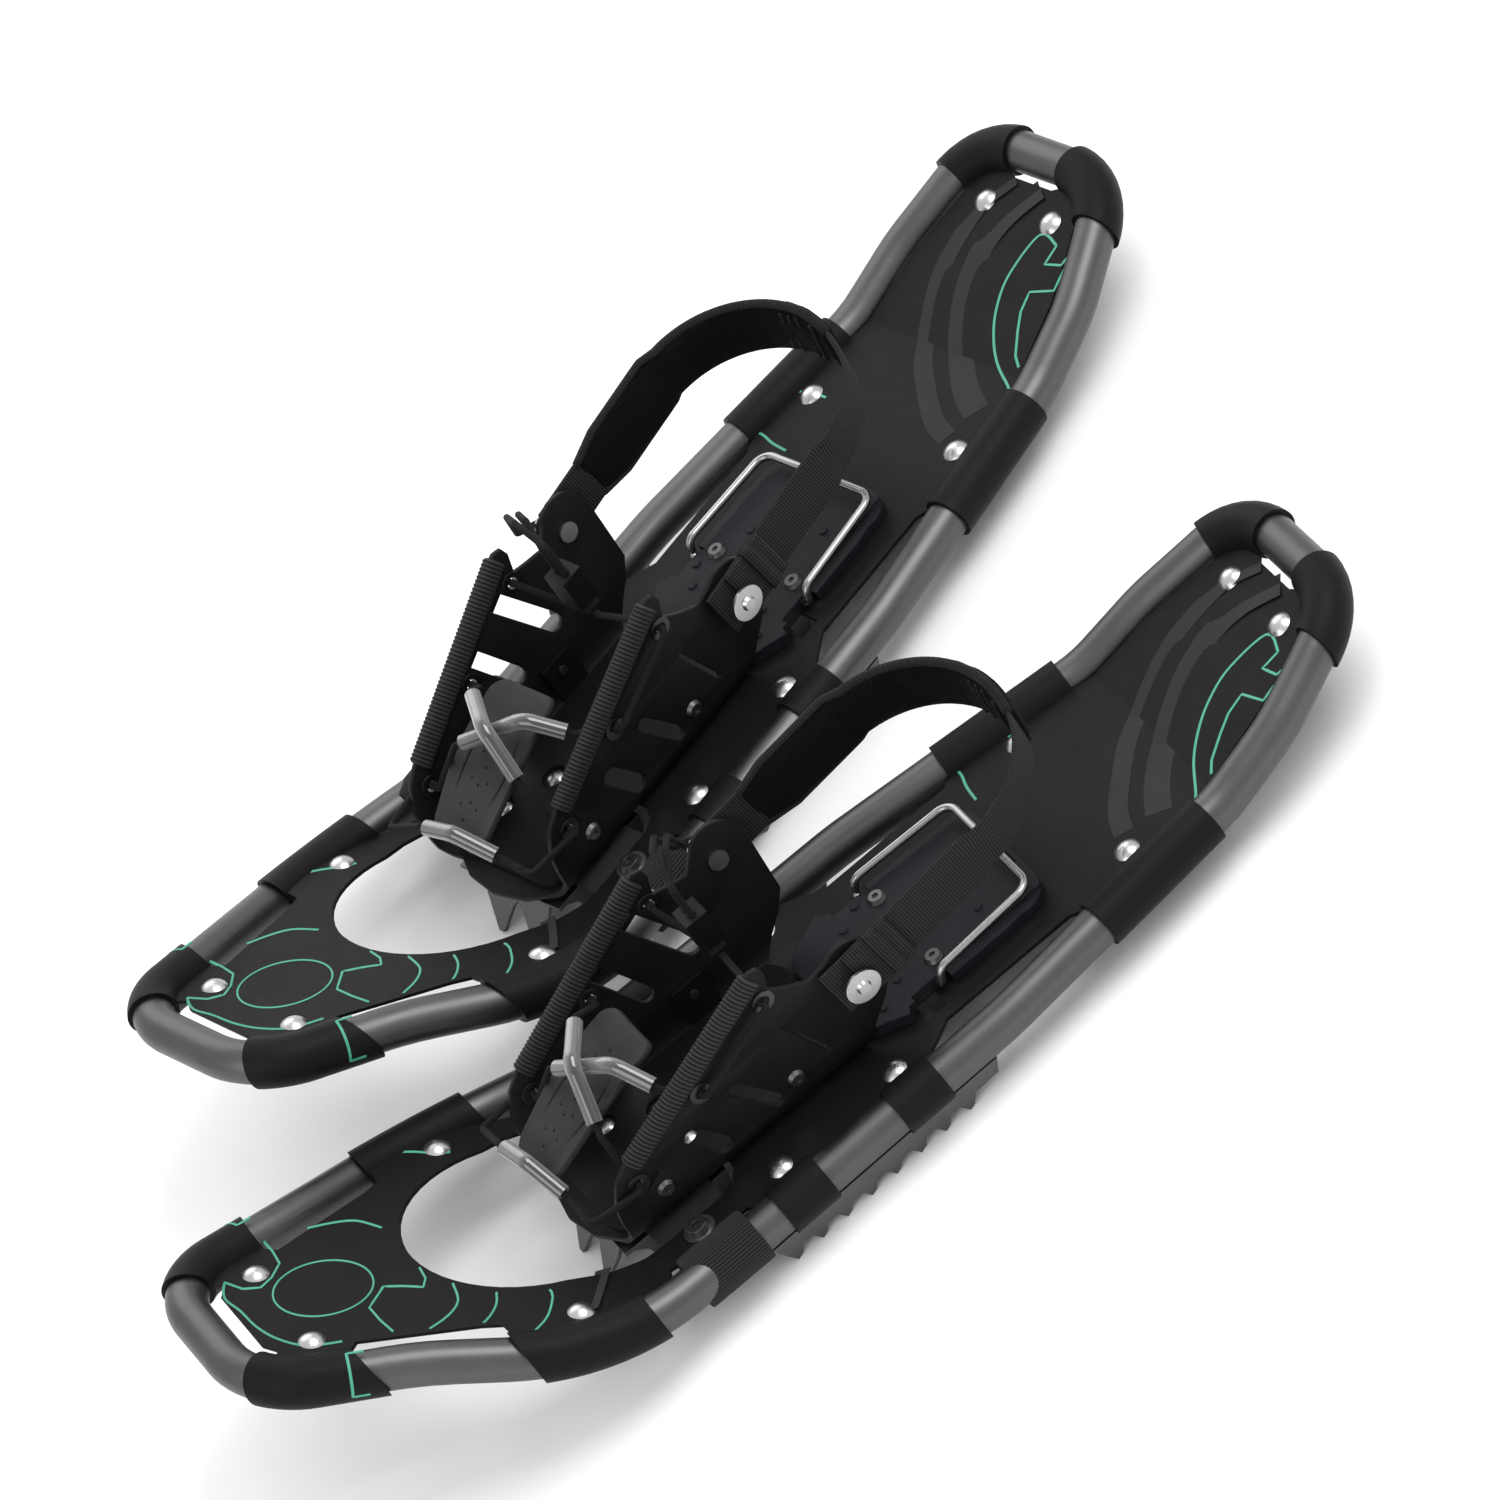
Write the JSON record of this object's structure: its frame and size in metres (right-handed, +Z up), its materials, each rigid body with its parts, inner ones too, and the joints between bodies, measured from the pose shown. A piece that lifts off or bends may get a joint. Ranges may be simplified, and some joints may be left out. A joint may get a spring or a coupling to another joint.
{
  "type": "snowshoes",
  "caption": "Pair of tube-frame snowshoes with laced strap-pivot bindings, heel straps, heel lifters and traction claws.",
  "frame": {"origin": "on the ground at the centre of the pair's bounding box", "axes": "+X towards the noses, +Y towards the left shoe, +Z up"},
  "size_m": [0.6536, 0.3998, 0.1203],
  "materials": {
    "tube": "satin",
    "deck": "semi-gloss, printed lines",
    "rivets": "polished",
    "dark_steel": "satin",
    "webbing": "matte weave",
    "heel_plastic": "matte",
    "bail_wire": "satin",
    "black_plastic": "matte",
    "wing_sheet": "fine grain",
    "eyelet": "satin",
    "pad_rubber": "matte",
    "cord": "braided",
    "clear_sleeve": "clear",
    "gloss_button": "gloss",
    "padding": "knit cover"
  },
  "bodies": {
    "left_frame": {"left_frame_tube": "tube", "left_frame_splice": "tube", "left_deck": "deck", "left_deck_rivets": "rivets", "left_strap_bolts": "dark_steel", "left_strap_washers": "rivets", "left_strap_ends": "webbing", "left_side_rails": "dark_steel", "left_heel_plate": "heel_plastic", "left_heel_screws": "dark_steel", "left_heel_crampon": "dark_steel"},
    "left_bail": {"left_lifter_bail": "bail_wire"},
    "left_binding": {"left_base_plate": "black_plastic", "left_strap_centre": "webbing", "left_toe_crampon": "dark_steel", "left_base_rivets": "rivets", "left_wing_l": "wing_sheet", "left_wing_r": "wing_sheet", "left_wing_screws": "dark_steel", "left_edge_tapes": "webbing", "left_eyelets": "eyelet", "left_toe_pad": "pad_rubber", "left_lace_cord": "cord", "left_lace_sleeves": "clear_sleeve", "left_strap_rivets": "rivets"},
    "left_lock": {"left_cord_lock_barrel": "black_plastic"},
    "left_button": {"left_cord_lock_button": "gloss_button"},
    "left_heel_strap": {"left_heel_strap": "webbing", "left_strap_sleeve": "padding"},
    "right_frame": {"right_frame_tube": "tube", "right_frame_splice": "tube", "right_deck": "deck", "right_deck_rivets": "rivets", "right_strap_bolts": "dark_steel", "right_strap_washers": "rivets", "right_strap_ends": "webbing", "right_side_rails": "dark_steel", "right_heel_plate": "heel_plastic", "right_heel_screws": "dark_steel", "right_heel_crampon": "dark_steel"},
    "right_bail": {"right_lifter_bail": "bail_wire"},
    "right_binding": {"right_base_plate": "black_plastic", "right_strap_centre": "webbing", "right_toe_crampon": "dark_steel", "right_base_rivets": "rivets", "right_wing_l": "wing_sheet", "right_wing_r": "wing_sheet", "right_wing_screws": "dark_steel", "right_edge_tapes": "webbing", "right_eyelets": "eyelet", "right_toe_pad": "pad_rubber", "right_lace_cord": "cord", "right_lace_sleeves": "clear_sleeve", "right_strap_rivets": "rivets"},
    "right_lock": {"right_cord_lock_barrel": "black_plastic"},
    "right_button": {"right_cord_lock_button": "gloss_button"},
    "right_heel_strap": {"right_heel_strap": "webbing", "right_strap_sleeve": "padding"}
  },
  "joints": [
    {"name": "left_binding_pivot", "type": "hinge", "parent": "left_frame", "child": "left_binding", "pos_m": [0.13804, 0.09362, 0.0236], "axis": [0.1374, 0.9905, 0], "range_deg": [0, 60]},
    {"name": "left_lifter_pivot", "type": "hinge", "parent": "left_frame", "child": "left_bail", "pos_m": [0.00077, 0.11569, 0.03], "axis": [0.1374, 0.9905, 0], "range_deg": [0, 92]},
    {"name": "left_heel_strap_swing", "type": "hinge", "parent": "left_binding", "child": "left_heel_strap", "pos_m": [0.03131, 0.10843, 0.07727], "axis": [0.0505, 0.9856, -0.1615], "range_deg": [-20, 10]},
    {"name": "left_lock_slide", "type": "slide", "parent": "left_binding", "child": "left_lock", "axis": [0, 0, 1], "range_m": [0, 0.006]},
    {"name": "left_lock_button", "type": "slide", "parent": "left_lock", "child": "left_button", "axis": [0, 0, 1], "range_m": [0, 0.0018], "stiffness_N_per_m": 200},
    {"name": "right_binding_pivot", "type": "hinge", "parent": "right_frame", "child": "right_binding", "pos_m": [0.04604, -0.09362, 0.0236], "axis": [-0.1374, 0.9905, 0], "range_deg": [0, 60]},
    {"name": "right_lifter_pivot", "type": "hinge", "parent": "right_frame", "child": "right_bail", "pos_m": [-0.09205, -0.10975, 0.03], "axis": [-0.1374, 0.9905, 0], "range_deg": [0, 92]},
    {"name": "right_heel_strap_swing", "type": "hinge", "parent": "right_binding", "child": "right_heel_strap", "pos_m": [-0.06069, -0.10843, 0.07727], "axis": [-0.2198, 0.9621, -0.1615], "range_deg": [-20, 10]},
    {"name": "right_lock_slide", "type": "slide", "parent": "right_binding", "child": "right_lock", "axis": [0, 0, 1], "range_m": [0, 0.006]},
    {"name": "right_lock_button", "type": "slide", "parent": "right_lock", "child": "right_button", "axis": [0, 0, 1], "range_m": [0, 0.0018], "stiffness_N_per_m": 200},
    {"name": "right_shoe_lift", "type": "slide", "parent": "left_frame", "child": "right_frame", "axis": [0, 0, 1], "range_m": [0, 0.3]}
  ]
}
